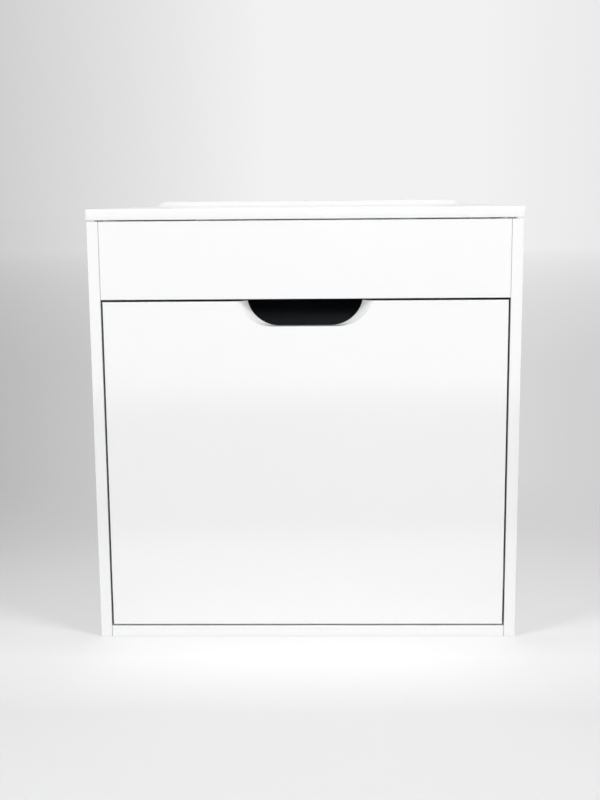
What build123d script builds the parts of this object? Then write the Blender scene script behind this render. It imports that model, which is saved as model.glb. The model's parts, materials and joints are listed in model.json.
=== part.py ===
from build123d import *
import os
from dataclasses import dataclass
from math import atan, degrees, sqrt

# Wall-hung vanity unit: a cabinet with one deep drawer under a moulded basin.
# Millimetres. X runs to the right, the front faces -Y, the wall is the plane Y = 0, Z is up.
# The origin is the centre of the four wall fixing holes.

# Cabinet
cabinet_width = 600.0
cabinet_height = 598.0
cabinet_depth = 458.0
board = 16.0
edge_round = 0.8
fascia_height = 108.0
top_rail_height = 100.0
bottom_rail_height = 80.0
wall_hole_inset = 29.0
wall_hole_d = 10.0
back_thickness = 8.0
back_setback = 4.0
pipe_slot_width = 220.0
pipe_slot_height = 100.0
pipe_slot_corner = 30.0
pipe_slot_level = 240.0

# Basin
basin_overhang = 2.0
basin_edge = 15.0
basin_corner = 5.0
basin_round = 3.0
basin_wall = 10.0
bowl_width = 470.0
bowl_corner = 68.0
bowl_depth = 105.0
bowl_taper = 38.0
bowl_floor_round = 24.0
bowl_rim_round = 6.0
bowl_rim = 62.0
dish_margin = 17.0
dish_depth = 5.0
ledge_width = 530.0
ledge_length = 92.0
ledge_height = 9.0
ledge_slope = 26.0
ledge_front_slope = 14.0
ledge_clearance = 16.0
tap_hole_d = 35.0
tap_setback = 50.0
waste_hole_d = 45.0
waste_seat_d = 70.0
waste_boss_d = 84.0
waste_boss = 8.0
overflow_d = 22.0
overflow_drop = 40.0
overflow_boss_d = 38.0

# Pads that the basin rests on
pad_thickness = 1.5
pad_length = 24.0
pad_width = 9.0

# Drawer front and the gaps round it
gap_under_fascia = 3.0
gap_over_bottom = 2.5
gap_at_sides = 2.5
pull_depth = 35.0
pull_back_flat = 73.0
pull_back_radius = 45.0
pull_front_flat = 94.0
pull_front_radius = 48.5

# Drawer box
box_rear_gap = 26.0
box_height = 240.0
box_lift = 12.0
recess_width = 180.0
recess_length = 250.0
box_bottom = 8.0
groove_depth = 6.0
groove_lift = 12.0
groove_play = 0.2

# Ball-bearing runners
runner_height = 45.0
runner_space = 12.7
runner_lift = 60.0
runner_setback = 2.0
runner_steel = 1.2
runner_bend = 2.4
web_gap = 1.5
ball_d = 3.5
ball_clearance = 0.3
ball_u = 6.9
balls_in_row = 4
lip_wrap = 30.0
cradle_wrap = 18.0
cage_steel = 0.6
cage_length = 180.0
cage_play = 0.15
cage_reach = 0.8

# Glued joints and screws
fit = 0.1
tongue_thickness = 6.0
tongue_length = 6.0
tongue_stop = 10.0
screw_sides = 8
runner_screw_d = 3.5
flat_head_d = 5.4
pan_head_d = 6.5
pan_head = 1.5
runner_screw_length = 13.0
runner_screw_inset = 36.0
front_screw_d = 4.0
front_screw_head_d = 8.0
front_screw_head = 2.2
front_screw_bite = 12.0
front_screw_edge = 45.0

# Levels and faces worked out from the sizes above
bottom_hole_height = board + bottom_rail_height / 2
top_hole_height = cabinet_height - top_rail_height / 2
base = -(bottom_hole_height + top_hole_height) / 2
cabinet_top = base + cabinet_height
bottom_top = base + board
front = -cabinet_depth
inner_half = cabinet_width / 2 - board
wall_hole_half = inner_half - wall_hole_inset
fascia_low = cabinet_top - fascia_height
rail_low = cabinet_top - top_rail_height

basin_low = cabinet_top + pad_thickness
basin_top = basin_low + basin_edge
basin_width = cabinet_width + 2 * basin_overhang
basin_depth = cabinet_depth + basin_overhang
bowl_length = basin_depth - bowl_rim - ledge_length - ledge_clearance
bowl_centre = -basin_depth + bowl_rim + bowl_length / 2
bowl_floor = basin_top - bowl_depth
dish_d = bowl_length - 2 * (bowl_taper + dish_margin)

drawer_front_low = bottom_top + gap_over_bottom
drawer_front_high = fascia_low - gap_under_fascia
drawer_front_half = inner_half - gap_at_sides

box_outer = inner_half - runner_space
box_inner = box_outer - board
box_front = front + board
box_rear = -(board + box_rear_gap)
box_low = bottom_top + box_lift
box_high = box_low + box_height
recess_half = recess_width / 2
recess_end = box_rear - recess_length

runner_front = box_front + runner_setback
runner_rear = box_rear
runner_length = runner_rear - runner_front
runner_z = box_low + runner_lift


def panel(low, high):
    """Add a flat board between two opposite corners."""
    middle = tuple((a + b) / 2 for a, b in zip(low, high))
    with Locations(middle):
        Box(*[b - a for a, b in zip(low, high)])


def ease_front(part):
    """Round the edges of a board's front face."""
    fillet(part.faces().sort_by(Axis.Y)[0].edges(), edge_round)


def bores(points, plane_x, diameter, outward, inward):
    """Bore along X through both planes x = -plane_x and x = plane_x, at each (y, z)."""
    middle = plane_x + (outward - inward) / 2
    with Locations(*[(side * middle, y, z) for side in (-1, 1) for y, z in points]):
        Cylinder(diameter / 2, outward + inward, rotation=(0, 90, 0), mode=Mode.SUBTRACT)


def finish_piece(piece, name):
    """Label a finished sub-part and write its file."""
    piece.part.label = name
    export_step(piece.part, f"parts/{name}.step")


os.makedirs("parts", exist_ok=True)


# Back panel, held in grooves in the sides and the rear rails
def back_sheet(bite, thickness):
    """Build the back panel's sheet, which reaches bite deep into the grooves round it."""
    low = bottom_top + bottom_rail_height - bite
    high = rail_low + bite
    with BuildPart() as sheet:
        with BuildSketch(Plane.XZ.offset(back_setback + (back_thickness - thickness) / 2)):
            with Locations((0, (low + high) / 2)):
                Rectangle(2 * (inner_half + bite), high - low)
        extrude(amount=thickness)
    return sheet


back_groove = back_sheet(groove_depth, back_thickness + groove_play)
with BuildPart() as back_panel:
    add(back_sheet(groove_depth - groove_play, back_thickness).part)
    with BuildSketch(Plane.XZ):
        with Locations((0, base + pipe_slot_level)):
            RectangleRounded(pipe_slot_width, pipe_slot_height, pipe_slot_corner)
    extrude(amount=board, mode=Mode.SUBTRACT)
finish_piece(back_panel, "back_panel")


# Boards that lie between the cabinet's sides, by two opposite corners (y, z) of their sections
@dataclass
class CrossBoard:
    """A board that reaches from side to side and ends in a tongue at each of them."""

    low: tuple
    high: tuple

    def body(self):
        """Add the board between its shoulders."""
        panel((-inner_half, *self.low), (inner_half, *self.high))

    def tongues(self, play, mode):
        """Add or cut a bar whose two ends are the board's tongues, grown by a play all round."""
        size_y, size_z = (b - a for a, b in zip(self.low, self.high))
        narrow = (board - tongue_thickness) / 2 - play
        insets = (narrow, tongue_stop - play) if size_y < size_z else (tongue_stop - play, narrow)
        middle = [(a + b) / 2 for a, b in zip(self.low, self.high)]
        with Locations((0, *middle)):
            Box(2 * (inner_half + tongue_length + play), size_y - 2 * insets[0],
                size_z - 2 * insets[1], mode=mode)


bottom_board = CrossBoard((front, base), (0, bottom_top))
fascia_board = CrossBoard((front, fascia_low), (front + board, cabinet_top))
top_rail_board = CrossBoard((-board, rail_low), (0, cabinet_top))
bottom_rail_board = CrossBoard((-board, bottom_top), (0, bottom_top + bottom_rail_height))
cross_boards = [bottom_board, fascia_board, top_rail_board, bottom_rail_board]


# Places of the runners' screws along the drawer's travel
runner_screw_ys = [runner_front + runner_screw_inset, runner_rear - runner_screw_inset]
runner_screws_at = [(y, runner_z) for y in runner_screw_ys]


# Cabinet side panels
def side_panel():
    """Build the left side panel with the grooves of its joints and its runner's screw holes."""
    with BuildPart() as side:
        panel((-cabinet_width / 2, front, base), (-inner_half, 0, cabinet_top))
        ease_front(side)
        for cross_board in cross_boards:
            cross_board.tongues(fit, Mode.SUBTRACT)
        bores(runner_screws_at, inner_half, runner_screw_d + 2 * fit, runner_screw_length, 0)
        add(back_groove.part, mode=Mode.SUBTRACT)
    return side


side_left = side_panel()
with BuildPart() as side_right:
    mirror(side_left.part, about=Plane.YZ)
finish_piece(side_left, "side_left")
finish_piece(side_right, "side_right")


# Bottom panel between the sides
with BuildPart() as bottom_panel:
    bottom_board.body()
    ease_front(bottom_panel)
    bottom_board.tongues(0, Mode.ADD)
finish_piece(bottom_panel, "bottom_panel")


# Fixed fascia in front of the bowl
with BuildPart() as fascia:
    fascia_board.body()
    ease_front(fascia)
    fascia_board.tongues(0, Mode.ADD)
finish_piece(fascia, "fascia")


# Rear rails, which carry the unit on the wall
def wall_holes(z):
    """Bore a rail's two wall fixing holes."""
    with Locations(*[
        Plane(origin=(side * wall_hole_half, 0, z), x_dir=(1, 0, 0), z_dir=(0, 1, 0))
        for side in (-1, 1)
    ]):
        Hole(wall_hole_d / 2, depth=board)


with BuildPart() as rail_top:
    top_rail_board.body()
    top_rail_board.tongues(0, Mode.ADD)
    add(back_groove.part, mode=Mode.SUBTRACT)
    wall_holes(base + top_hole_height)
finish_piece(rail_top, "rail_top")

with BuildPart() as rail_bottom:
    bottom_rail_board.body()
    bottom_rail_board.tongues(0, Mode.ADD)
    add(back_groove.part, mode=Mode.SUBTRACT)
    wall_holes(base + bottom_hole_height)
finish_piece(rail_bottom, "rail_bottom")


# Basin: a thin slab with a tap ledge at the back and a bowl under it
def ledge_outline(plane, reach, slope):
    """Draw the ledge's flat top, which runs out softly to the slab over its last stretch."""
    with BuildSketch(plane) as outline:
        with BuildLine():
            middle = (slope / 2 - reach, ledge_height / 2)
            Line((0, 0), (-reach, 0))
            TangentArc((-reach, 0), middle, tangent=(1, 0))
            TangentArc((slope - reach, ledge_height), middle, tangent=(-1, 0))
            Line((slope - reach, ledge_height), (0, ledge_height))
            Line((0, ledge_height), (0, 0))
        make_face()
    return outline.sketch


def bowl_taper_at(level):
    """Give how far the bowl has drawn in at a level, by the slope of its walls."""
    return bowl_taper * (basin_top - level) / bowl_depth


def bowl_body(high, low, growth):
    """Add the tapering bowl between two levels, grown outwards by the same width all round."""
    spread = growth - bowl_taper_at(high)
    with BuildSketch(Plane.XY.offset(high)) as section:
        with Locations((0, bowl_centre)):
            RectangleRounded(bowl_width + 2 * spread, bowl_length + 2 * spread,
                             bowl_corner + spread)
    extrude(section.sketch, amount=low - high, taper=degrees(atan(bowl_taper / bowl_depth)))


overflow_z = basin_top - overflow_drop
bowl_back = bowl_centre + bowl_length / 2 + basin_wall
overflow_reach = bowl_taper + 2 * basin_wall
waste_boss_low = bowl_floor - basin_wall - waste_boss

with BuildPart() as bowl_space:
    bowl_body(basin_top, bowl_floor, 0.0)
    fillet(bowl_space.faces().sort_by(Axis.Z)[0].edges(), bowl_floor_round)
    with Locations((0, bowl_centre, bowl_floor)):
        Cone(waste_seat_d / 2, dish_d / 2, dish_depth, align=(Align.CENTER, Align.CENTER, Align.MAX))

ledge_origin = (0, 0, basin_top)
ledge_from_front = Plane(origin=ledge_origin, x_dir=(1, 0, 0), z_dir=(0, -1, 0))
ledge_from_side = Plane(origin=ledge_origin, x_dir=(0, 1, 0), z_dir=(1, 0, 0))
with BuildPart() as ledge:
    extrude(ledge_outline(ledge_from_front, ledge_width / 2, ledge_slope), amount=ledge_length)
    mirror(about=Plane.YZ)
    extrude(
        ledge_outline(ledge_from_side, ledge_length, ledge_front_slope),
        amount=ledge_width / 2,
        both=True,
        mode=Mode.INTERSECT,
    )

with BuildPart() as basin:
    with BuildSketch(Plane.XY.offset(basin_low)) as slab_outline:
        with Locations((0, -basin_depth / 2)):
            Rectangle(basin_width, basin_depth)
        fillet(slab_outline.vertices().group_by(Axis.Y)[0], basin_corner)
    extrude(amount=basin_edge)
    fillet(basin.faces().sort_by(Axis.Z)[-1].edges().sort_by(Axis.Y)[:-1], basin_round)
    add(ledge.part)
    bowl_body(basin_low, bowl_floor - basin_wall, basin_wall)
    with Locations((0, bowl_centre, waste_boss_low)):
        Cylinder(waste_boss_d / 2, waste_boss + basin_wall / 2,
                 align=(Align.CENTER, Align.CENTER, Align.MIN))
    with Locations((0, bowl_back - overflow_reach / 2, overflow_z)):
        Cylinder(overflow_boss_d / 2, overflow_reach, rotation=(90, 0, 0))
    add(bowl_space.part, mode=Mode.SUBTRACT)
    rim = basin.faces().filter_by(Axis.Z).filter_by_position(Axis.Z, basin_top, basin_top)[0]
    fillet(rim.inner_wires()[0].edges(), bowl_rim_round)
    with Locations((0, bowl_centre, bowl_floor)):
        Hole(waste_hole_d / 2)
    with Locations((0, -tap_setback, basin_top + ledge_height)):
        Hole(tap_hole_d / 2)
    with Locations((0, bowl_back - overflow_reach / 2, overflow_z)):
        Cylinder(overflow_d / 2, overflow_reach, rotation=(90, 0, 0), mode=Mode.SUBTRACT)
finish_piece(basin, "basin")

# Clear pads on the cabinet's top edges
with BuildPart() as basin_pads:
    pad_line = cabinet_width / 2 - board / 2
    for share in (0.12, 0.5, 0.88):
        for side in (-1, 1):
            with Locations((side * pad_line, front * share, cabinet_top + pad_thickness / 2)):
                Box(pad_width, pad_length, pad_thickness)
    for y in (front + board / 2, -board / 2):
        for side in (-1, 1):
            with Locations((side * inner_half / 2, y, cabinet_top + pad_thickness / 2)):
                Box(pad_length, pad_width, pad_thickness)
finish_piece(basin_pads, "basin_pads")


# Drawer front with its finger pull
def pull_outline(y, flat, radius):
    """Draw the pull at depth y: a flat bottom between two arcs that rise past the top edge."""
    bottom = drawer_front_high - pull_depth
    top = drawer_front_high + gap_under_fascia
    rise = sqrt(radius**2 - (bottom + radius - top) ** 2)
    middle_rise = radius * sqrt(0.5)
    half = flat / 2
    with BuildSketch(Plane(origin=(0, y, 0), x_dir=(1, 0, 0), z_dir=(0, -1, 0))) as outline:
        with BuildLine():
            Line((-half, bottom), (half, bottom))
            ThreePointArc((half, bottom), (half + middle_rise, bottom + radius - middle_rise),
                          (half + rise, top))
            Line((half + rise, top), (-half - rise, top))
            ThreePointArc((-half - rise, top), (-half - middle_rise, bottom + radius - middle_rise),
                          (-half, bottom))
        make_face()
    return outline.sketch


def front_screw_planes(y):
    """Give the planes of the four screws that hold the drawer front, at depth y and facing back."""
    x = box_inner - front_screw_edge
    return [
        Plane(origin=(side * x, y, z), x_dir=(1, 0, 0), z_dir=(0, 1, 0))
        for side in (-1, 1)
        for z in (box_low + front_screw_edge, box_high - front_screw_edge)
    ]


def screw(plane, diameter, head_diameter, head, length):
    """Add a screw whose head stands on a plane and whose shank goes down from it."""
    with BuildSketch(plane) as shank:
        RegularPolygon(diameter / 2, screw_sides)
    extrude(shank.sketch, amount=-length)
    with BuildSketch(plane) as cap:
        RegularPolygon(head_diameter / 2, screw_sides)
    extrude(cap.sketch, amount=head)


with BuildPart() as drawer_front:
    panel(
        (-drawer_front_half, front, drawer_front_low),
        (drawer_front_half, front + board, drawer_front_high),
    )
    ease_front(drawer_front)
    pull_front = pull_outline(front, pull_front_flat, pull_front_radius)
    pull_back = pull_outline(front + board, pull_back_flat, pull_back_radius)
    loft([pull_front, pull_back], ruled=True, mode=Mode.SUBTRACT)
    with Locations(*front_screw_planes(box_front)):
        Hole(front_screw_d / 2 + fit, depth=front_screw_bite + fit)
finish_piece(drawer_front, "drawer_front")


# Drawer box, with a recess at the back for the trap
def bottom_outline(level, bite):
    """Draw the drawer's bottom, which reaches bite deep into the grooves of the boards round it."""
    back = box_rear - board + bite
    ahead = box_front + board - bite
    notch_half = recess_half + board - bite
    notch_end = recess_end - board + bite
    with BuildSketch(Plane.XY.offset(level)) as outline:
        with BuildLine():
            Polyline(
                (-box_inner - bite, ahead),
                (box_inner + bite, ahead),
                (box_inner + bite, back),
                (notch_half, back),
                (notch_half, notch_end),
                (-notch_half, notch_end),
                (-notch_half, back),
                (-box_inner - bite, back),
                close=True,
            )
        make_face()
    return outline.sketch


groove_low = box_low + groove_lift
with BuildPart() as groove:
    extrude(bottom_outline(groove_low, groove_depth), amount=box_bottom + groove_play)

recess_outer = recess_half + board


def box_board(low, high):
    """Add a board of the drawer box, which is glued at its corners, and groove it for the bottom."""
    panel(low, high)
    add(groove.part, mode=Mode.SUBTRACT)


def box_side():
    """Build the box's left side with its runner's screw holes."""
    with BuildPart() as side:
        box_board((-box_outer, box_front, box_low), (-box_inner, box_rear, box_high))
        bores(runner_screws_at, box_outer, runner_screw_d + 2 * fit, 0, runner_screw_length)
    return side


def box_back():
    """Build the left half of the box's back, between its side and the recess."""
    with BuildPart() as back:
        box_board((-box_inner, box_rear - board, box_low), (-recess_outer, box_rear, box_high))
    return back


def recess_side():
    """Build the recess's left side."""
    with BuildPart() as side:
        box_board((-recess_outer, recess_end - board, box_low), (-recess_half, box_rear, box_high))
    return side


for name, build in (
    ("drawer_side", box_side),
    ("drawer_back", box_back),
    ("recess_side", recess_side),
):
    left = build()
    with BuildPart() as right:
        mirror(left.part, about=Plane.YZ)
    finish_piece(left, f"{name}_left")
    finish_piece(right, f"{name}_right")

with BuildPart() as drawer_inner_front:
    box_board((-box_inner, box_front, box_low), (box_inner, box_front + board, box_high))
    with Locations(*front_screw_planes(box_front + board)):
        Hole(front_screw_d / 2 + fit, depth=board)
finish_piece(drawer_inner_front, "drawer_inner_front")

with BuildPart() as recess_front:
    box_board((-recess_half, recess_end - board, box_low), (recess_half, recess_end, box_high))
finish_piece(recess_front, "recess_front")

with BuildPart() as drawer_bottom:
    bottom_low = groove_low + groove_play / 2
    extrude(bottom_outline(bottom_low, groove_depth - groove_play), amount=box_bottom)
finish_piece(drawer_bottom, "drawer_bottom")

with BuildPart() as front_screws:
    for plane in front_screw_planes(box_front + board):
        screw(plane, front_screw_d, front_screw_head_d, front_screw_head, board + front_screw_bite)
finish_piece(front_screws, "front_screws")


# Ball-bearing runners: u is the distance from the cabinet's side, v the height over the middle.
# Each rolled strip is placed by its outer skin, with its steel inside that.
race = ball_d / 2 + ball_clearance
flange_cabinet_v = runner_height / 2
ball_outer_v = flange_cabinet_v - runner_steel - race
flange_middle_v = ball_outer_v - race
ball_inner_v = flange_middle_v - runner_steel - race
flange_drawer_v = ball_inner_v - race
web_middle_u = runner_steel + web_gap
cage_outer_u = runner_steel + (web_gap - cage_steel) / 2
cage_inner_u = web_middle_u + runner_steel + ball_clearance
left_runner = Plane(
    origin=(-inner_half, runner_rear, runner_z), x_dir=(1, 0, 0), z_dir=(0, -1, 0)
)
cage_rear = (runner_front + runner_rear) / 2 + cage_length / 2


def web_and_flange(web_u, flange_v, depth):
    """Draw half of a channel's skin at a depth in its steel: up the web and along the flange."""
    turn = 1 if ball_u > web_u else -1
    web = web_u + turn * depth
    flange = flange_v - depth
    bend = runner_bend - depth
    Line((web, 0), (web, flange - bend))
    RadiusArc((web, flange - bend), (web + turn * bend, flange), turn * bend)
    Line((web + turn * bend, flange), (ball_u, flange))


def hooked_half(web_u, flange_v, depth):
    """Draw half of a channel whose flange curls over the balls under it, and give its tip."""
    web_and_flange(web_u, flange_v, depth)
    outer_race = race + runner_steel
    curl = CenterArc((ball_u, flange_v - outer_race), outer_race - depth, 90, -90 - lip_wrap)
    return curl @ 1


def cradled_half(web_u, flange_v, depth):
    """Draw half of the drawer member, whose flange turns up beside the balls, and give its tip."""
    web_and_flange(web_u, flange_v, depth)
    curl = CenterArc((ball_u, flange_v + race), race + depth, 270, -cradle_wrap)
    return curl @ 1


def cage_half(web_u, flange_v, depth):
    """Draw half of a ball cage, a strip beside the web bent over level with the balls."""
    tip = (ball_u + cage_reach, flange_v - depth)
    Polyline((web_u + depth, 0), (web_u + depth, flange_v - depth), tip)
    return tip


def rolled_strip(half, web_u, flange_v, steel, length, rear):
    """Extrude a rolled strip from half of its two skins, mirrored about the runner's middle."""
    with BuildSketch(left_runner.offset(runner_rear - rear)) as section:
        with BuildLine():
            outer_tip = half(web_u, flange_v, 0)
            inner_tip = half(web_u, flange_v, steel)
            Line(outer_tip, inner_tip)
            mirror(about=Plane.XZ)
        make_face()
    extrude(section.sketch, amount=length)


def screw_places(u, facing):
    """Give the planes of one runner member's screws, with the normal facing their heads."""
    return [
        Plane(origin=(-inner_half + u, y, z), x_dir=(0, 1, 0), z_dir=(facing, 0, 0))
        for y, z in runner_screws_at
    ]


def middle_member():
    """Build the left runner's middle member."""
    with BuildPart() as member:
        rolled_strip(hooked_half, web_middle_u, flange_middle_v, runner_steel, runner_length,
                     runner_rear)
    return member


def cabinet_member():
    """Build the left runner's cabinet member with its countersunk screw holes."""
    with BuildPart() as member:
        rolled_strip(hooked_half, 0, flange_cabinet_v, runner_steel, runner_length, runner_rear)
        with Locations(*screw_places(runner_steel, 1)):
            CounterSinkHole(runner_screw_d / 2 + fit, flat_head_d / 2 + fit, depth=runner_steel)
    return member


def drawer_member():
    """Build the left runner's drawer member with its screw holes."""
    with BuildPart() as member:
        rolled_strip(cradled_half, runner_space, flange_drawer_v, runner_steel, runner_length,
                     runner_rear)
        with Locations(*screw_places(runner_space - runner_steel, -1)):
            Hole(runner_screw_d / 2 + fit, depth=runner_steel)
    return member


def ball_places(ball_v):
    """Give the centres of a cage's balls, in rows above and below the runner's middle."""
    pitch = cage_length / balls_in_row
    return [
        (-inner_half + ball_u, cage_rear - pitch * (index + 0.5), runner_z + row * ball_v)
        for row in (-1, 1)
        for index in range(balls_in_row)
    ]


def cage(web_u, ball_v):
    """Build a ball cage with a square window for each ball."""
    with BuildPart() as strip:
        rolled_strip(cage_half, web_u, ball_v + cage_steel / 2, cage_steel, cage_length, cage_rear)
        with Locations(*ball_places(ball_v)):
            Box(*[ball_d + 2 * cage_play] * 3, mode=Mode.SUBTRACT)
    return strip


def balls(ball_v):
    """Build a cage's balls, each faceted as a cube with its edges cut to equal squares."""
    with BuildPart() as ball:
        Box(ball_d, ball_d, ball_d)
        chamfer(ball.edges(), ball_d / (2 + sqrt(2)))
    with BuildPart() as rows:
        with Locations(*ball_places(ball_v)):
            add(ball.part)
    return rows


def cabinet_screws():
    """Build the cabinet member's flat-headed screws, flush with its web."""
    head = (flat_head_d - runner_screw_d) / 2
    with BuildPart() as screws:
        for plane in screw_places(runner_steel, 1):
            with BuildSketch(plane.offset(-head)) as neck:
                RegularPolygon(runner_screw_d / 2, screw_sides)
            extrude(neck.sketch, amount=head - runner_screw_length)
            with BuildSketch(plane) as cap:
                RegularPolygon(flat_head_d / 2, screw_sides)
            loft([neck.sketch, cap.sketch], ruled=True)
    return screws


def drawer_screws():
    """Build the drawer member's pan-headed screws."""
    with BuildPart() as screws:
        for plane in screw_places(runner_space - runner_steel, -1):
            screw(plane, runner_screw_d, pan_head_d, pan_head, runner_screw_length)
    return screws


for name, piece in (
    ("runner_cabinet", cabinet_member()),
    ("runner_middle", middle_member()),
    ("runner_drawer", drawer_member()),
    ("cage_outer", cage(cage_outer_u, ball_outer_v)),
    ("cage_inner", cage(cage_inner_u, ball_inner_v)),
    ("balls_outer", balls(ball_outer_v)),
    ("balls_inner", balls(ball_inner_v)),
):
    with BuildPart() as right:
        mirror(piece.part, about=Plane.YZ)
    finish_piece(piece, f"{name}_left")
    finish_piece(right, f"{name}_right")

for name, piece in (
    ("cabinet_runner_screws", cabinet_screws()),
    ("drawer_runner_screws", drawer_screws()),
):
    with BuildPart() as both:
        add(piece.part)
        mirror(piece.part, about=Plane.YZ)
    finish_piece(both, name)
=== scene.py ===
"""Looks of a wall-hung vanity unit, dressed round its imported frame.

Metres. X runs to the right, the front faces -Y, the wall is the plane y = 0 and Z is up, as in the
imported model. Places come from the frame's own boxes, and what a box doesn't tell is named below.
"""
import json
import logging
import math
from dataclasses import dataclass, field
from enum import Enum
from typing import ClassVar

import bmesh
import bpy
import numpy as np
from mathutils import Matrix, Vector


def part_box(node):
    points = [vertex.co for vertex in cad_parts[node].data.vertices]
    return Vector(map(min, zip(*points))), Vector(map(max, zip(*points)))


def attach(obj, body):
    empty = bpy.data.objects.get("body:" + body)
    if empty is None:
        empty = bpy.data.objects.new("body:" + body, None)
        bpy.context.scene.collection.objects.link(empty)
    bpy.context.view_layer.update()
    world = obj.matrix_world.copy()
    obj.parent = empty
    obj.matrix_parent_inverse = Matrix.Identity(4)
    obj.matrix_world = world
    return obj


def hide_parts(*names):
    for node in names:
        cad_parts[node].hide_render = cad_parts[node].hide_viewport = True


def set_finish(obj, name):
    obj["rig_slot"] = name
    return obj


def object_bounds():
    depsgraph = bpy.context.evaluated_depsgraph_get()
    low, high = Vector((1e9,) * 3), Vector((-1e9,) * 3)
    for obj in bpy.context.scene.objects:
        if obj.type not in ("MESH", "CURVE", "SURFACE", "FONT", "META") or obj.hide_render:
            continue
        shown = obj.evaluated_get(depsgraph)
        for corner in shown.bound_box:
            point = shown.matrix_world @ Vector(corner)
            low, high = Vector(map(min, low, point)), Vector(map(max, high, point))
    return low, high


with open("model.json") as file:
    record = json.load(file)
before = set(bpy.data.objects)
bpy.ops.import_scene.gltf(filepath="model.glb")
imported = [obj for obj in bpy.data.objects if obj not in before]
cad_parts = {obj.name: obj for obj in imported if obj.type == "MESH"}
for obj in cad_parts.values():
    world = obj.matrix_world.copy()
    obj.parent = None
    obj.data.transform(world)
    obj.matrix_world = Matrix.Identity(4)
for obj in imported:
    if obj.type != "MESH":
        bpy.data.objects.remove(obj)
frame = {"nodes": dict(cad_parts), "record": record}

CAD_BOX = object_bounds()
MM = 0.001
SLAB_OVERHANG = 2.0 * MM
QUARTER = math.pi / 2
MIDDLE = (CAD_BOX[0] + CAD_BOX[1]) / 2
LOG = logging.getLogger("vanity")
Socket = bpy.types.NodeSocket
Piece = bpy.types.Object
Pair = tuple[float, float]
Triple = tuple[float, float, float]
Plain = ClassVar[dict[str, float]]


def linear(level: float) -> float:
    """Turn a screen level from 0 to 1 into light: straight near black, then a power curve."""
    return level / 12.92 if level <= 0.04045 else ((level + 0.055) / 1.055) ** 2.4


def colour(red: float, green: float, blue: float) -> tuple[float, float, float, float]:
    """Give a shader colour from three screen levels from 0 to 1."""
    return (linear(red), linear(green), linear(blue), 1.0)


def grey(level: float) -> tuple[float, float, float, float]:
    """Give a grey shader colour from one screen level from 0 to 1."""
    return colour(level, level, level)


class Nodes:
    """A node tree, with short calls that add nodes and join them."""

    def __init__(self, tree: bpy.types.NodeTree) -> None:
        """Take a tree and empty it."""
        self.tree = tree
        tree.nodes.clear()

    def feed(self, target: Socket, value: object) -> None:
        """Lead a socket into another, or set that one to a plain value.

        Args:
            target: The socket that takes the value.
            value: A socket, a number or a colour.
        """
        if isinstance(value, Socket):
            self.tree.links.new(value, target)
        else:
            target.default_value = value

    def add(self, kind: str, inputs: dict | None = None, **settings: object) -> bpy.types.Node:
        """Add a node.

        Args:
            kind: Blender's name for the node.
            inputs: What its sockets take, by their names or numbers.
            settings: Properties of the node to set.

        Returns:
            The new node.
        """
        node = self.tree.nodes.new(kind)
        for name, value in settings.items():
            setattr(node, name, value)
        for name, value in (inputs or {}).items():
            self.feed(node.inputs[name], value)
        return node

    def place(self, scale: Triple = (1, 1, 1)) -> Socket:
        """Give the object's own coordinates, times a scale along each axis."""
        own = self.add("ShaderNodeTexCoord").outputs["Object"]
        return self.add("ShaderNodeMapping", {"Vector": own, "Scale": scale}).outputs["Vector"]

    def axes(self, place: Socket) -> list[Socket]:
        """Give the X, Y and Z of a place."""
        return list(self.add("ShaderNodeSeparateXYZ", {0: place}).outputs)

    def noise(self, scale: float, detail: float = 2.0, stretch: Triple = (1, 1, 1)) -> Socket:
        """Give a cloudy pattern from 0 to 1, of a scale in clouds per metre and finer layers."""
        inputs = {"Vector": self.place(stretch), "Scale": scale, "Detail": detail}
        return self.add("ShaderNodeTexNoise", inputs).outputs[0]

    def bands(self, axis: str, pitch: float, waver: float) -> Socket:
        """Give soft bands of a pitch in metres, each pi / 10 of the pattern's own unit, from 0 to 1."""
        inputs = {"Vector": self.place(), "Scale": math.pi / 10 / pitch, "Distortion": waver,
                  "Detail": 2.0, "Detail Scale": 0.6}
        return self.add("ShaderNodeTexWave", inputs, bands_direction=axis).outputs["Fac"]

    def span(self, source: Socket, start: Pair, end: Pair) -> Socket:
        """Carry one span of values to another and hold it at its ends, each value read and given."""
        inputs = {"Value": source, "From Min": start[0], "To Min": start[1],
                  "From Max": end[0], "To Max": end[1]}
        return self.add("ShaderNodeMapRange", inputs).outputs["Result"]

    def fade(self, source: Socket, ends: Pair) -> Socket:
        """Give 0 before the first of two values, 1 past the second and a slope between them."""
        return self.span(source, (ends[0], 0.0), (ends[1], 1.0))

    def work(self, operation: str, first: Socket, second: Socket | float = 0.0) -> Socket:
        """Work out one value from one or two, by Blender's name for what to do with them."""
        return self.add("ShaderNodeMath", {0: first, 1: second}, operation=operation).outputs[0]

    def mix(self, factor: Socket, *ends: object) -> Socket:
        """Blend two colours, each a value or a socket, by a pattern.

        Args:
            factor: The pattern, 0 for the first colour and 1 for the second.
            ends: The two colours.

        Returns:
            The colour's socket.
        """
        node = self.add("ShaderNodeMix", {"Factor": factor}, data_type="RGBA")
        sockets = [socket for socket in node.inputs if socket.type == "RGBA"]
        for socket, end in zip(sockets, ends):
            self.feed(socket, end)
        return next(socket for socket in node.outputs if socket.type == "RGBA")


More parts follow.
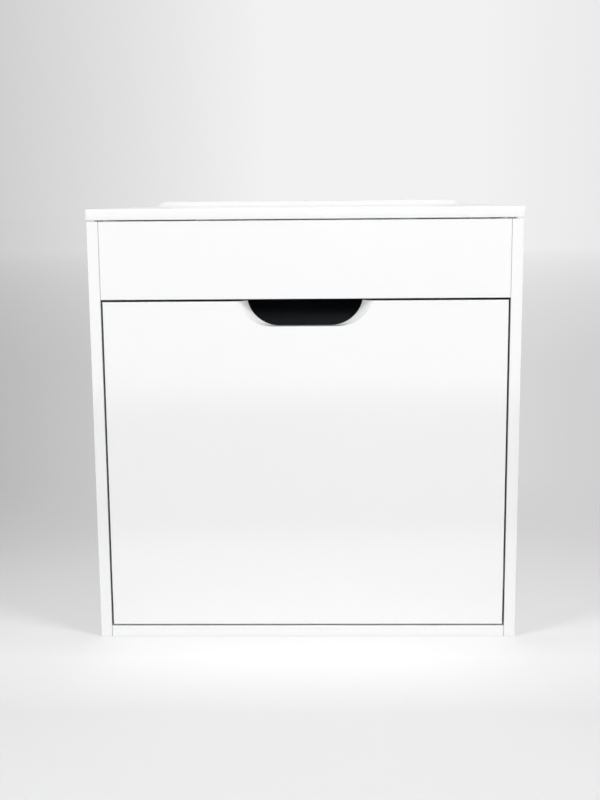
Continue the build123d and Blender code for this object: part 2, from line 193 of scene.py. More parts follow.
class Shader(Nodes):
    """The node tree of one material that has one surface shader."""

    def __init__(self, name: str) -> None:
        """Start a material of a name."""
        self.material = bpy.data.materials.new(name)
        self.material.use_nodes = True
        super().__init__(self.material.node_tree)
        self.surface = self.add("ShaderNodeBsdfPrincipled")
        skin = {"Surface": self.surface.outputs["BSDF"]}
        self.output = self.add("ShaderNodeOutputMaterial", skin)

    def fix(self, **values: object) -> None:
        """Give the surface its values, each by its socket's name with _ for a space."""
        for name, value in values.items():
            self.feed(self.surface.inputs[name.replace("_", " ")], value)

    def raise_surface(self, height: Socket, strength: float, distance: float) -> None:
        """Let a pattern raise the surface, by a share of the effect and the metres of a step."""
        inputs = {"Height": height, "Strength": strength, "Distance": distance}
        self.fix(Normal=self.add("ShaderNodeBump", inputs).outputs["Normal"])


@dataclass(frozen=True)
class Finish:
    """A finish.

    It has its colour as screen levels, how far that drifts, its smoothest and roughest roughness,
    and the clouds per metre of the drift and of the roughness. Its grain is given by clouds per
    metre and finer layers, and its relief by strength and height. What is plain is the same all over.
    """

    name: str
    tone: Triple
    drift: float = 0.01
    smooth: float = 0.1
    rough: float = 0.2
    clouds: float = 5.0
    flecks: float = 38.0
    grain: Pair = (900.0, 1.0)
    relief: Pair = (0.35, 0.04 * MM)
    plain: Plain = {}

    def shades(self) -> tuple[tuple, tuple]:
        """Give the finish's darker and lighter colours."""
        darker = colour(*[max(level - self.drift, 0.0) for level in self.tone])
        return darker, colour(*self.tone)

    def tint(self, shader: Shader) -> Socket:
        """Give the colour, drifting in broad clouds."""
        return shader.mix(shader.noise(self.clouds, 3.0), *self.shades())

    def dull(self, shader: Shader) -> Socket:
        """Give the roughness, in flecks."""
        return self.spread(shader, shader.noise(self.flecks, 4.0))

    def skin(self, shader: Shader) -> Socket:
        """Give the pattern that the surface rises and falls with."""
        return shader.noise(*self.grain)

    def spread(self, shader: Shader, pattern: Socket) -> Socket:
        """Give a roughness that goes from smooth to rough with a pattern."""
        return shader.span(pattern, (0.25, self.smooth), (0.75, self.rough))

    def build(self) -> bpy.types.Material:
        """Build the material."""
        shader = Shader(self.name)
        shader.fix(Base_Color=self.tint(shader), Roughness=self.dull(shader), **self.plain)
        shader.raise_surface(self.skin(shader), *self.relief)
        return shader.material


@dataclass(frozen=True)
class Lacquer(Finish):
    """Gloss lacquer on board: a faint orange peel under a clear coat, and hairline wiping marks."""

    grain: Pair = (420.0, 1.0)
    relief: Pair = (0.25, 0.03 * MM)
    joint_place: float = 284.0 * MM
    joint_width: float = 0.55 * MM
    joint_depth: float = 1.6 * MM
    # Painted shade: the grey of the thin stripe where boards meet, standing in for the shadow in their
    # tight gap.
    joint_shade_tone: float = 0.66
    pull_half: float = 98.0 * MM
    pull_low: float = 146.0 * MM
    # Painted light: the lighter tone of the pull's bevel, for the light that the bevel catches.
    pull_light_tone: float = 0.995
    plain: Plain = {"IOR": 1.5, "Coat_Weight": 1.0, "Coat_Roughness": 0.04, "Coat_IOR": 1.65}

    def tint(self, shader: Shader) -> Socket:
        """Add to the colour a painted shade where boards meet, and a painted lighter tone on the pull's
        edge.

        The painted shade is a fine grey stripe that stands in for the shadow in the boards' tight gap;
        it follows the distance from the joint's plane, on the front faces alone. The pull's edge, made
        lighter as painted light for the light that it catches, is what lies behind the front face
        between the pull's sides and over its bottom.
        """
        x, y, z = shader.axes(shader.place())
        across = shader.work("ABSOLUTE", x)
        aside = shader.work("ABSOLUTE", shader.work("SUBTRACT", across, self.joint_place))
        front = CAD_BOX[0].y + SLAB_OVERHANG
        # Painted shade: a thin grey stripe along each joint's plane, on the front faces alone, for the
        # shadow in the gap.
        joint_shade = shader.span(aside, (0.3 * self.joint_width, 1.0), (self.joint_width, 0.0))
        outer = shader.span(y, (front + self.joint_depth, 1.0),
                            (front + 1.2 * self.joint_depth, 0.0))
        # Painted light: the pull's bevel, behind the front face and over its bottom, gets a lighter
        # tone.
        within = shader.span(across, (self.pull_half, 1.0), (self.pull_half + MM, 0.0))
        above = shader.fade(z, (self.pull_low, self.pull_low + MM))
        behind = shader.fade(y, (front + 0.2 * MM, front + 0.5 * MM))
        edge = shader.work("MULTIPLY", shader.work("MULTIPLY", within, above), behind)
        lit_bevel_tint = shader.mix(edge, super().tint(shader), grey(self.pull_light_tone))
        return shader.mix(shader.work("MULTIPLY", joint_shade, outer), lit_bevel_tint, grey(self.joint_shade_tone))

    def dull(self, shader: Shader) -> Socket:
        """Give the roughness, in wiping marks within broad clouds."""
        wiping = shader.noise(9.0, 5.0, (1.0, 1.0, 22.0))
        return self.spread(shader, shader.work("MULTIPLY", wiping, shader.noise(30.0, 3.0)))


@dataclass(frozen=True)
class Glaze(Finish):
    """Fired glaze: slow waves in a glassy skin, with a duller film where water stands."""

    grain: Pair = (16.0, 2.0)
    relief: Pair = (0.3, 0.12 * MM)
    top: Pair = (309.0 * MM, 312.3 * MM)
    wiped: float = 0.34
    plain: Plain = {"IOR": 1.52}

    def dull(self, shader: Shader) -> Socket:
        """Give the roughness: a film of water in patches, and the duller wiped top."""
        film = shader.work("MULTIPLY", shader.noise(55.0, 5.0), shader.noise(7.0, 2.0))
        height = shader.axes(shader.place())[2]
        over = shader.span(height, (self.top[0], 0.0), (self.top[1], self.wiped))
        return shader.work("ADD", self.spread(shader, film), over)


@dataclass(frozen=True)
class Linen(Finish):
    """Board faced with a linen print: fine threads along each axis, raised in the press."""

    relief: Pair = (0.3, 0.05 * MM)
    pitch: float = 1.4 * MM
    waver: float = 2.2

    def slubs(self, shader: Shader) -> Socket:
        """Give the thicker places of the threads."""
        return shader.noise(160.0, 3.0, (1.0, 1.0, 0.2))

    def skin(self, shader: Shader) -> Socket:
        """Give the threads across all three axes, two of which lie in any face."""
        threads = [shader.bands(axis, self.pitch, self.waver) for axis in "XYZ"]
        return shader.work("ADD", shader.work("ADD", threads[0], threads[1]), threads[2])

    def tint(self, shader: Shader) -> Socket:
        """Give the colour, by threads and slubs."""
        slubs = shader.span(self.slubs(shader), (0.3, 0.0), (0.7, 1.4))
        cloth = shader.work("ADD", self.skin(shader), slubs)
        return shader.mix(shader.fade(cloth, (0.6, 3.4)), *self.shades())

    def dull(self, shader: Shader) -> Socket:
        """Give the roughness, by slubs."""
        return self.spread(shader, self.slubs(shader))


@dataclass(frozen=True)
class Melamine(Finish):
    """White melamine facing with the fine pearl of its press plate, which is the plain grain."""


@dataclass(frozen=True)
class RolledSteel(Finish):
    """Zinc-plated strip: rolling lines along the runner, and cloudy patches of bluish plate."""

    relief: Pair = (0.4, 0.02 * MM)
    patches: float = 42.0
    plain: Plain = {"Metallic": 1.0, "Anisotropic": 0.35}

    def skin(self, shader: Shader) -> Socket:
        """Give the rolling lines, which run with Y."""
        return shader.noise(240.0, 4.0, (1.0, 0.02, 1.0))

    def tint(self, shader: Shader) -> Socket:
        """Give the colour, by lines within patches."""
        patches = shader.work("MULTIPLY", self.skin(shader), shader.noise(self.patches, 3.0))
        return shader.mix(patches, *self.shades())

    def dull(self, shader: Shader) -> Socket:
        """Give the roughness, by lines."""
        return self.spread(shader, self.skin(shader))


@dataclass(frozen=True)
class PlatedSteel(Finish):
    """Small steel goods: bright plate with fine pits."""

    grain: Pair = (1600.0, 2.0)
    relief: Pair = (0.4, 0.01 * MM)
    plain: Plain = {"Metallic": 1.0}


@dataclass(frozen=True)
class ClearSoft(Finish):
    """Soft clear plastic, cloudy inside, with a moulded skin."""

    grain: Pair = (700.0, 2.0)
    relief: Pair = (0.3, 0.02 * MM)
    plain: Plain = {"Transmission_Weight": 0.7, "IOR": 1.46}


class Slot(Enum):
    """The record's material slots, each with its finish."""

    white_lacquer = Lacquer("gloss_lacquer", (0.95, 0.95, 0.952), 0.006, 0.07, 0.17)
    white_board = Melamine("pearl_melamine", (0.93, 0.93, 0.925), 0.012, 0.35, 0.5)
    dark_board = Linen("anthracite_linen", (0.175, 0.222, 0.27), 0.06, 0.42, 0.6)
    glaze = Glaze("white_glaze", (0.95, 0.953, 0.95), 0.008, 0.04, 0.12)
    clear_pad = ClearSoft("clear_pad", (0.93, 0.95, 0.95), 0.02, 0.25, 0.4)
    screw_steel = PlatedSteel("bright_plate", (0.80, 0.80, 0.81), 0.05, 0.2, 0.34)
    runner_steel = RolledSteel("zinc_strip", (0.83, 0.84, 0.86), 0.09, 0.24, 0.42)
    cage_steel = RolledSteel("cage_strip", (0.76, 0.75, 0.72), 0.08, 0.3, 0.46)
    ball_steel = PlatedSteel("polished_balls", (0.88, 0.88, 0.9), 0.03, 0.05, 0.12)


def grid_faces(rows: int, columns: int, wrap_rows: bool) -> np.ndarray:
    """List the quads between neighbouring points of a grid whose columns wrap round.

    Args:
        rows: Number of rows.
        columns: Number of columns.
        wrap_rows: Whether the last row is joined to the first.

    Returns:
        One row of four point numbers for each quad: a point, its right neighbour, and the two
        points above them.
    """
    row = np.arange(rows if wrap_rows else rows - 1)[:, None]
    column = np.arange(columns)[None, :]
    above = (row + 1) % rows
    right = (column + 1) % columns
    corners = [row * columns + column, row * columns + right, above * columns + right,
               above * columns + column]
    return np.stack(np.broadcast_arrays(*corners), axis=-1).reshape(-1, 4)


def make_piece(name: str, points: np.ndarray, faces: list, crease_deg: float) -> Piece:
    """Make a mesh object whose faces point outwards and are smooth up to an angle.

    Args:
        name: The piece's name.
        points: The points, one row each, in metres.
        faces: Point numbers of each face.
        crease_deg: Edges sharper than this stay sharp.

    Returns:
        The object, at the origin and unturned.
    """
    mesh = bpy.data.meshes.new(name)
    mesh.from_pydata(points.tolist(), [], faces)
    skin = bmesh.new()
    skin.from_mesh(mesh)
    bmesh.ops.recalc_face_normals(skin, faces=skin.faces)
    skin.to_mesh(mesh)
    skin.free()
    piece = bpy.data.objects.new(name, mesh)
    bpy.context.scene.collection.objects.link(piece)
    soften(piece, crease_deg)
    return piece


def soften(piece: Piece, crease_deg: float) -> None:
    """Shade a piece smooth, but keep the edges that are sharper than an angle."""
    piece.data.polygons.foreach_set("use_smooth", np.ones(len(piece.data.polygons), bool))
    piece.data.set_sharp_from_angle(angle=math.radians(crease_deg))


@dataclass(frozen=True)
class Turned:
    """A closed form turned about an axis: a profile that starts and ends on the axis."""

    radii: np.ndarray
    heights: np.ndarray
    segments: int

    def points(self) -> np.ndarray:
        """Give the points: the two ends, then ring after ring.

        Returns:
            A ring's points are (r cos a, r sin a, h), for the profile's radius r and height h and
            for angles a that divide the circle equally.
        """
        angles = np.linspace(0.0, 2 * math.pi, self.segments, endpoint=False)
        radii, heights = self.radii[1:-1, None], self.heights[1:-1, None]
        across = [radii * np.cos(angles), radii * np.sin(angles)]
        rings = np.stack([*across, heights + np.zeros(self.segments)], axis=-1)
        ends = np.array([[0.0, 0.0, self.heights[0]], [0.0, 0.0, self.heights[-1]]])
        return np.vstack([ends, rings.reshape(-1, 3)])

    def faces(self) -> list[list[int]]:
        """Give the faces.

        Returns:
            The quads between rings, then the triangles that close both ends.
        """
        rings = len(self.radii) - 2
        quads = grid_faces(rings, self.segments, False) + 2
        first = np.arange(self.segments) + 2
        last = first + (rings - 1) * self.segments
        fans = [np.stack([np.full(self.segments, end), ring, np.roll(ring, -1)], axis=-1)
                for end, ring in ((0, first), (1, last))]
        return quads.tolist() + fans[0].tolist() + fans[1].tolist()


def repeated(points: np.ndarray, faces: list, places: list[Matrix]) -> tuple[np.ndarray, list]:
    """Repeat a form.

    Args:
        points: Its points.
        faces: Its faces.
        places: Where each copy goes.

    Returns:
        All copies' points and faces.
    """
    turned = [points @ np.array(place.to_3x3()).T + np.array(place.translation) for place in places]
    numbers = [[[corner + copy * len(points) for corner in face] for face in faces]
               for copy in range(len(places))]
    return np.vstack(turned), [face for copy in numbers for face in copy]


def solids_of(node: str, gaps: Triple) -> list[tuple[np.ndarray, np.ndarray]]:
    """Find the boxes of a node's separate solids.

    Args:
        node: The CAD node.
        gaps: The least gap between solids along X, Y and Z, infinite where none is sought.

    Returns:
        Each solid's lowest and highest corner.
    """
    mesh = frame["nodes"][node].data
    points = np.empty(len(mesh.vertices) * 3, np.float32)
    mesh.vertices.foreach_get("co", points)
    groups = [points.reshape(-1, 3).astype(float)]
    for axis, gap in enumerate(gaps):
        split = []
        for group in groups:
            ordered = group[np.argsort(group[:, axis])]
            breaks = np.flatnonzero(np.diff(ordered[:, axis]) > gap) + 1
            split.extend(np.split(ordered, breaks))
        groups = split
    return [(group.min(axis=0), group.max(axis=0)) for group in groups]


class HeadForm(Enum):
    """Forms of a screw's head."""

    PAN = "pan"
    FLAT = "flat"


@dataclass
class ScrewSet:
    """The screws of one node, each turned with its thread and a cross recess in its head."""

    node: str
    body: str
    form: HeadForm
    axis: int
    gaps: Triple
    outward: float
    head_radius: float
    head_height: float
    shank_radius: float
    thread_pitch: float = 1.3 * MM
    thread_depth: float = 0.35 * MM
    recess_reach: float = 0.55
    recess_width: float = 0.42 * MM
    recess_depth: float = 1.0 * MM
    tip_share: float = 2.5
    tip_rise: float = 0.2 * MM
    lip: float = 0.12 * MM
    face_rows: int = 14
    brow: float = 0.9
    innermost: float = 0.05
    segments: int = 40

    def profile(self, length: float) -> tuple[np.ndarray, np.ndarray]:
        """Give a screw's profile from its tip to the middle of its head.

        Args:
            length: Length of the shank under the plane that the head stands on.

        Returns:
            Radii and heights. The thread is a wave of the pitch along the shank, the tip a cone, a
            pan head a quarter of a blunt ellipse, and a flat head a cone under a plain face.
        """
        tip = self.tip_share * self.shank_radius
        cone = self.head_radius - self.shank_radius if self.form is HeadForm.FLAT else 0.0
        along = np.arange(-length, -cone, self.thread_pitch / 6)
        taper = np.clip((along + length) / tip, self.innermost, 1.0)
        wave = 0.5 - 0.5 * np.cos(2 * math.pi * along / self.thread_pitch)
        shank = self.shank_radius * taper - self.thread_depth * wave * taper
        if self.form is HeadForm.PAN:
            bend = np.cos(np.linspace(0.0, QUARTER, 10))
            face = np.linspace(self.brow, self.innermost, self.face_rows)
            shares = np.concatenate([bend[bend > self.brow], face])
            rise = self.head_height * (1 - shares ** 2) ** 0.4
        else:
            face = np.linspace(0.97, self.innermost, self.face_rows)
            shares = np.concatenate([[1.0], face])
            rise = np.concatenate([[-self.lip], np.zeros(self.face_rows)])
        head = shares * self.head_radius
        return (np.concatenate([[0.0], shank, [self.shank_radius], head, [0.0]]),
                np.concatenate([[-length - self.tip_rise], along, [-cone], rise,
                                [self.head_height]]))

    def recessed(self, points: np.ndarray) -> np.ndarray:
        """Sink a cross into the head.

        Args:
            points: The screw's points.

        Returns:
            The points, lowered on the head within the cross's reach and half its width of
            either arm, deepest in the middle.
        """
        reach = self.recess_reach * self.head_radius
        radius = np.hypot(points[:, 0], points[:, 1])
        arm = np.minimum(np.abs(points[:, 0]), np.abs(points[:, 1]))
        inside = np.clip((self.recess_width + self.lip - arm) / (0.2 * MM), 0, 1)
        inside *= np.clip((reach - radius) / (0.25 * MM), 0, 1)
        on_head = points[:, 2] > -0.05 * MM
        sunk = points.copy()
        sunk[:, 2] -= on_head * inside * self.recess_depth * (1.0 - 0.5 * radius / reach)
        return sunk

    def build(self) -> Piece:
        """Build the screws where the frame has them.

        Returns:
            The piece, which replaces the node.
        """
        places, length = [], 0.0
        for low, high in solids_of(self.node, self.gaps):
            middle = (low + high) / 2
            side = self.outward * (math.copysign(1.0, middle[0]) if self.axis == 0 else 1.0)
            end = high[self.axis] if side > 0 else low[self.axis]
            middle[self.axis] = end - side * self.head_height
            length = high[self.axis] - low[self.axis] - self.head_height
            direction = Vector([side * (index == self.axis) for index in range(3)])
            turn = direction.to_track_quat("Z", "Y").to_matrix().to_4x4()
            places.append(Matrix.Translation(Vector(middle)) @ turn)
        form = Turned(*self.profile(length - self.tip_rise), self.segments)
        points, faces = repeated(self.recessed(form.points()), form.faces(), places)
        piece = make_piece(f"{self.node}_turned", points, faces, 38.0)
        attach(piece, self.body)
        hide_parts(self.node)
        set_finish(piece, Slot.screw_steel.name)
        return piece


@dataclass
class BallSet:
    """The balls of one cage, as true spheres."""

    node: str
    body: str
    segments: int = 24
    rings: int = 13

    def build(self) -> Piece:
        """Build the balls where the frame has them.

        Returns:
            The piece, which replaces the node. A ball's profile is half a circle.
        """
        solids = solids_of(self.node, (math.inf, 2.0 * MM, 2.0 * MM))
        radius = (solids[0][1][0] - solids[0][0][0]) / 2
        turn = np.linspace(-QUARTER, QUARTER, self.rings)
        radii = radius * np.cos(turn)
        radii[[0, -1]] = 0.0
        form = Turned(radii, radius * np.sin(turn), self.segments)
        places = [Matrix.Translation(Vector((low + high) / 2)) for low, high in solids]
        points, faces = repeated(form.points(), form.faces(), places)
        piece = make_piece(f"{self.node}_round", points, faces, 60.0)
        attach(piece, self.body)
        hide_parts(self.node)
        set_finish(piece, Slot.ball_steel.name)
        return piece


@dataclass(frozen=True)
class Outline:
    """A rectangle with round corners, seen from above: centre, half-sizes and corner radius."""

    centre: Pair
    half: Pair
    corner: float

    def grown(self, by: float) -> "Outline":
        """Give the outline moved outwards by a width, or inwards where it is negative."""
        half = (self.half[0] + by, self.half[1] + by)
        return Outline(self.centre, half, max(self.corner + by, 0.5 * MM))

    def points(self, spacing: float) -> np.ndarray:
        """Give points along the outline about a spacing apart.

        Args:
            spacing: The distance between neighbours.

        Returns:
            The points. A corner's are its centre plus the radius at equal angles, and a side's
            divide it equally.
        """
        stretches = []
        count = max(int(self.corner * QUARTER / spacing), 6)
        for number, sides in enumerate(((1, 1), (-1, 1), (-1, -1), (1, -1))):
            middle = np.array(self.centre) + sides * (np.array(self.half) - self.corner)
            angles = np.linspace(number * QUARTER, (number + 1) * QUARTER, count)
            arc = middle + self.corner * np.stack([np.cos(angles), np.sin(angles)], axis=-1)
            stretches.append(arc)
        joined = []
        for arc, after in zip(stretches, stretches[1:] + stretches[:1]):
            count = max(int(np.linalg.norm(after[0] - arc[-1]) / spacing), 1)
            share = np.linspace(0.0, 1.0, count + 1)[1:-1, None]
            joined += [arc, arc[-1] * (1 - share) + after[0] * share]
        return np.vstack(joined)

    def reach(self, origin: np.ndarray, directions: np.ndarray) -> np.ndarray:
        """Measure from a point inside to the outline.

        Args:
            origin: The point.
            directions: Unit directions, one row each.

        Returns:
            The distances, found by halving: outside is further than the corner radius from the
            rectangle that the corners' centres make.
        """
        low = np.zeros(len(directions))
        high = np.ones(len(directions))
        core = np.array(self.half) - self.corner
        for _ in range(36):
            middle = (low + high) / 2
            offset = np.abs(origin + middle[:, None] * directions - np.array(self.centre)) - core
            past = np.hypot(*np.maximum(offset, 0).T) + np.minimum(offset.max(axis=1), 0)
            outside = past > self.corner
            high = np.where(outside, middle, high)
            low = np.where(outside, low, middle)
        return low


def smooth_step(value: np.ndarray) -> np.ndarray:
    """Give 3 v squared less 2 v cubed, with v held between 0 and 1."""
    held = np.clip(value, 0.0, 1.0)
    return held * held * (3 - 2 * held)


@dataclass
class Rows:
    """The rows of a grid round one place.

    Each is a ring: its reach along every direction, its level, and the share of the tap ledge's
    rise that lifts it.
    """

    origin: np.ndarray
    directions: np.ndarray
    rings: list[tuple[np.ndarray, float, float]] = field(default_factory=list)

    def ring(self, outline: Outline, level: float, lift: float = 0.0) -> None:
        """Add a ring that follows an outline at a level."""
        self.rings.append((outline.reach(self.origin, self.directions), level, lift))

    def arc(self, outline: Outline, widths: Pair, turns: np.ndarray, level: float,
            lift: float = 0.0) -> None:
        """Add rings round an edge, out by a cosine and up by a sine.

        Args:
            outline: The outline that the edge's centre follows.
            widths: The radius outwards and upwards, negative for inwards or downwards.
            turns: The angles.
            level: The height of the edge's centre.
            lift: The rings' share of the ledge's rise.
        """
        for turn in turns:
            grown = outline.grown(widths[0] * math.cos(turn))
            self.ring(grown, level + widths[1] * math.sin(turn), lift)

    def between(self, ends: tuple[Outline, Outline], shares: np.ndarray,
                levels: Pair, lift: float = 0.0) -> None:
        """Add rings between two outlines, shared out along each direction.

        Args:
            ends: The two outlines.
            shares: Each ring's share of the way.
            levels: The height at either end.
            lift: The rings' share of the ledge's rise.
        """
        first, last = (outline.reach(self.origin, self.directions) for outline in ends)
        for share in shares:
            level = levels[0] * (1 - share) + levels[1] * share
            self.rings.append((first * (1 - share) + last * share, level, lift))


@dataclass
class Basin:
    """The basin: a thin slab with a tap ledge, a tapering bowl under it, and its three holes."""

    node: str = "basin"
    body: str = "cabinet"
    edge: float = 15.0 * MM
    corner: float = 5.0 * MM
    edge_round: float = 3.0 * MM
    under_round: float = 1.0 * MM
    wall: float = 10.0 * MM
    bowl_half_x: float = 235.0 * MM
    rim: float = 62.0 * MM
    bowl_corner: float = 68.0 * MM
    bowl_depth: float = 105.0 * MM
    bowl_taper: float = 38.0 * MM
    rim_round: float = 6.0 * MM
    floor_round: float = 24.0 * MM
    foot_round: float = 8.0 * MM
    dish_margin: float = 17.0 * MM
    dish_depth: float = 5.0 * MM
    seat_radius: float = 35.0 * MM
    hole_radius: float = 22.5 * MM
    hole_round: float = 1.5 * MM
    hole_chamfer: float = 0.5 * MM
    boss_radius: float = 42.0 * MM
    boss_chamfer: float = 1.0 * MM
    ledge_half: float = 265.0 * MM
    ledge_length: float = 92.0 * MM
    ledge_gap: float = 16.0 * MM
    ledge_height: float = 9.0 * MM
    ledge_slope: float = 26.0 * MM
    front_slope: float = 14.0 * MM
    ledge_aim: float = -20.0 * MM
    tap_radius: float = 17.5 * MM
    tap_setback: float = 50.0 * MM
    tap_round: float = 1.5 * MM
    overflow_radius: float = 11.0 * MM
    overflow_drop: float = 40.0 * MM
    overflow_boss: float = 19.0 * MM
    bore_lead: float = 30.0 * MM
    bore_past: float = 2.0 * MM
    spacing: float = 5.0 * MM
    slope_spacing: float = 2.0 * MM
    corner_spacing: float = 60.0 * MM
    least_turn: float = 0.0015

    def __post_init__(self) -> None:
        """Work out the basin's levels and outlines from its box in the frame."""
        low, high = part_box(self.node)
        self.top = high.z - self.ledge_height
        self.under = self.top - self.edge
        self.floor = self.top - self.bowl_depth
        self.seat = self.floor - self.dish_depth
        self.lowest = low.z
        half = ((high.x - low.x) / 2, (high.y - low.y) / 2)
        self.slab = Outline((0.0, (low.y + high.y) / 2), half, self.corner)
        length = 2 * half[1] - self.rim - self.ledge_length - self.ledge_gap
        self.origin = np.array([0.0, low.y + self.rim + length / 2])
        self.bowl = Outline(tuple(self.origin), (self.bowl_half_x, length / 2), self.bowl_corner)
        self.slope = math.atan(self.bowl_taper / self.bowl_depth)
        self.sine, self.cosine = math.sin(self.slope), math.cos(self.slope)
        self.rim_edge = self.bowl.grown(self.rim_round * (1 - self.sine) / self.cosine)
        self.dish_radius = length / 2 - self.bowl_taper - self.dish_margin
        self.rows = Rows(self.origin, self.directions())

    def directions(self) -> np.ndarray:
        """Give the directions of the grid's columns, from the bowl's middle.

        Returns:
            Unit directions in order round the bowl: to even steps along the bowl's outline, to
            the slab's corners, and to close steps over the two slopes at the ledge's ends.
        """
        past = 2 * self.slope_spacing
        slope = np.arange(-past, self.ledge_slope + past, self.slope_spacing)
        across = self.ledge_half - slope
        ends = [np.stack([side * across, np.full(len(across), self.ledge_aim)], axis=-1)
                for side in (-1, 1)]
        corners = self.slab.points(self.corner_spacing)
        targets = np.vstack([self.bowl.points(self.spacing), corners, *ends])
        angles = np.sort(np.arctan2(*(targets - self.origin).T[::-1]))
        kept = angles[np.diff(angles, append=angles[0] + 2 * math.pi) > self.least_turn]
        return np.stack([np.cos(kept), np.sin(kept)], axis=-1)

    def circle(self, radius: float) -> Outline:
        """Give a circle about the bowl's middle as an outline."""
        return Outline(tuple(self.origin), (radius, radius), radius)

    def ledge_rise(self, x: np.ndarray, y: np.ndarray) -> np.ndarray:
        """Give the ledge's height times a smooth step along its ends and one along its front."""
        ends = smooth_step((self.ledge_half - np.abs(x)) / self.ledge_slope)
        return self.ledge_height * ends * smooth_step((y + self.ledge_length) / self.front_slope)

    def outer_inset(self, level: float) -> float:
        """Give how far the bowl's outer wall lies inside the bowl's outline at a level."""
        return self.bowl_taper * (self.top - level) / self.bowl_depth - self.wall

    def slab_rows(self) -> None:
        """Add the slab's round edges, and its top as far as the bowl's rim."""
        under, edge = self.under_round, self.edge_round
        foot, head = self.slab.grown(-under), self.slab.grown(-edge)
        turns = np.linspace(-QUARTER, 0.0, 4)
        self.rows.arc(foot, (under, under), turns, self.under + under)
        turns = np.linspace(0.0, QUARTER, 7)
        self.rows.arc(head, (edge, edge), turns, self.top - edge, 1.0)
        shares = 1.0 - np.linspace(1.0, 0.0, 38)[1:] ** 1.4
        self.rows.between((head, self.rim_edge), shares, (self.top, self.top), 1.0)

    def bowl_rows(self) -> None:
        """Add the bowl's rim, its leaning wall, the bend at its foot, the floor and the dish."""
        rim, foot = self.rim_round, self.floor_round
        turns = np.linspace(QUARTER, self.slope, 9)[1:]
        self.rows.arc(self.rim_edge, (-rim, rim), turns, self.top - rim)
        floor_at = (foot + (self.bowl_depth - foot) * self.sine) / self.cosine
        floor_edge = self.bowl.grown(-floor_at)
        wall = (self.rim_edge.grown(-rim * self.cosine), floor_edge.grown(foot * self.cosine))
        ends = (self.top - rim * (1 - self.sine), self.floor + foot * (1 - self.sine))
        self.rows.between(wall, np.linspace(0, 1, 12)[1:-1], ends)
        turns = np.linspace(self.slope, QUARTER, 14)
        self.rows.arc(floor_edge, (foot, -foot), turns, self.floor + foot)
        dish = self.circle(min(self.dish_radius, floor_edge.half[1] - 0.5 * MM))
        self.rows.between((floor_edge, dish), np.linspace(0, 1, 7)[1:], (self.floor, self.floor))
        seat = self.circle(self.seat_radius)
        self.rows.between((dish, seat), np.linspace(0, 1, 10)[1:], (self.floor, self.seat))

    def waste_rows(self) -> None:
        """Add the waste hole with its round brim, and the boss that it comes out of."""
        brim = self.hole_round
        mouth, turns = self.circle(self.hole_radius + brim), np.linspace(QUARTER, 0.0, 5)
        self.rows.arc(mouth, (-brim, brim), turns, self.seat - brim)
        for radius, level in (
            (self.hole_radius, self.lowest + self.hole_chamfer),
            (self.hole_radius + self.hole_chamfer, self.lowest),
            (self.boss_radius - self.boss_chamfer, self.lowest),
            (self.boss_radius, self.lowest + self.boss_chamfer),
            (self.boss_radius, self.floor - self.wall),
        ):
            self.rows.ring(self.circle(radius), level)

    def under_rows(self) -> None:
        """Add the bowl's underside, its round foot and outer wall, and the slab's underside."""
        under, foot = self.floor - self.wall, self.foot_round
        edge = self.bowl.grown(-self.outer_inset(under) - foot)
        boss, shares = self.circle(self.boss_radius), np.linspace(0, 1, 6)[1:]
        self.rows.between((boss, edge), shares, (under, under))
        for turn in np.linspace(0.25, 1.0, 4) * QUARTER:
            level = under + foot * (1 - math.cos(turn))
            inset = self.outer_inset(level) + foot * (1 - math.sin(turn))
            self.rows.ring(self.bowl.grown(-inset), level)
        low, high = (self.bowl.grown(-self.outer_inset(level))
                     for level in (under + foot, self.under))
        shares, slab = np.linspace(0, 1, 7)[1:], self.slab.grown(-self.under_round)
        self.rows.between((low, high), shares, (under + foot, self.under))
        self.rows.between((high, slab), shares[:-1], (self.under, self.under))

    def tap_hole(self) -> Piece:
        """Make the form that bores the tap hole.

        Returns:
            The form, flared where the glaze rounds the hole's brim.
        """
        brim = self.top + self.ledge_height
        turn = np.linspace(math.pi, QUARTER, 6)
        radii = self.tap_radius + self.tap_round * (1 + np.cos(turn))
        heights = brim - self.tap_round + self.tap_round * np.sin(turn)
        clear = 12 * MM
        radii = np.concatenate([[0, self.tap_radius], radii, [radii[-1], 0]])
        heights = np.concatenate([[self.under - clear] * 2, heights, [brim + clear] * 2])
        form = Turned(radii, heights, 64)
        place = Matrix.Translation((0, -self.tap_setback, 0))
        return make_piece("tap_bore", *repeated(form.points(), form.faces(), [place]), 30.0)

    def overflow_rod(self, name: str, radius: float, front: float, leaning: bool) -> Piece:
        """Make a rod along the overflow's axis.

        Args:
            name: The rod's name.
            radius: Its radius.
            front: How far its front end stands before the middle of the bowl's back wall.
            leaning: Whether that end leans with the wall.

        Returns:
            The rod, with its rear end level with the CAD's.
        """
        level = self.top - self.overflow_drop
        rear = self.origin[1] + self.bowl.half[1] + self.wall
        middle_wall = rear - self.wall / 2 - self.bowl_taper * self.overflow_drop / self.bowl_depth
        form = Turned(np.array([0, radius, radius, 0]), np.array([0.0, 0.0, 1.0, 1.0]), 48)
        points = form.points()
        lean = points[:, 1] * math.tan(self.slope) if leaning else 0.0
        start = middle_wall - front + lean
        y = start + points[:, 2] * (rear - start)
        z = level + points[:, 1]
        return make_piece(name, np.stack([points[:, 0], y, z], axis=-1), form.faces(), 30.0)

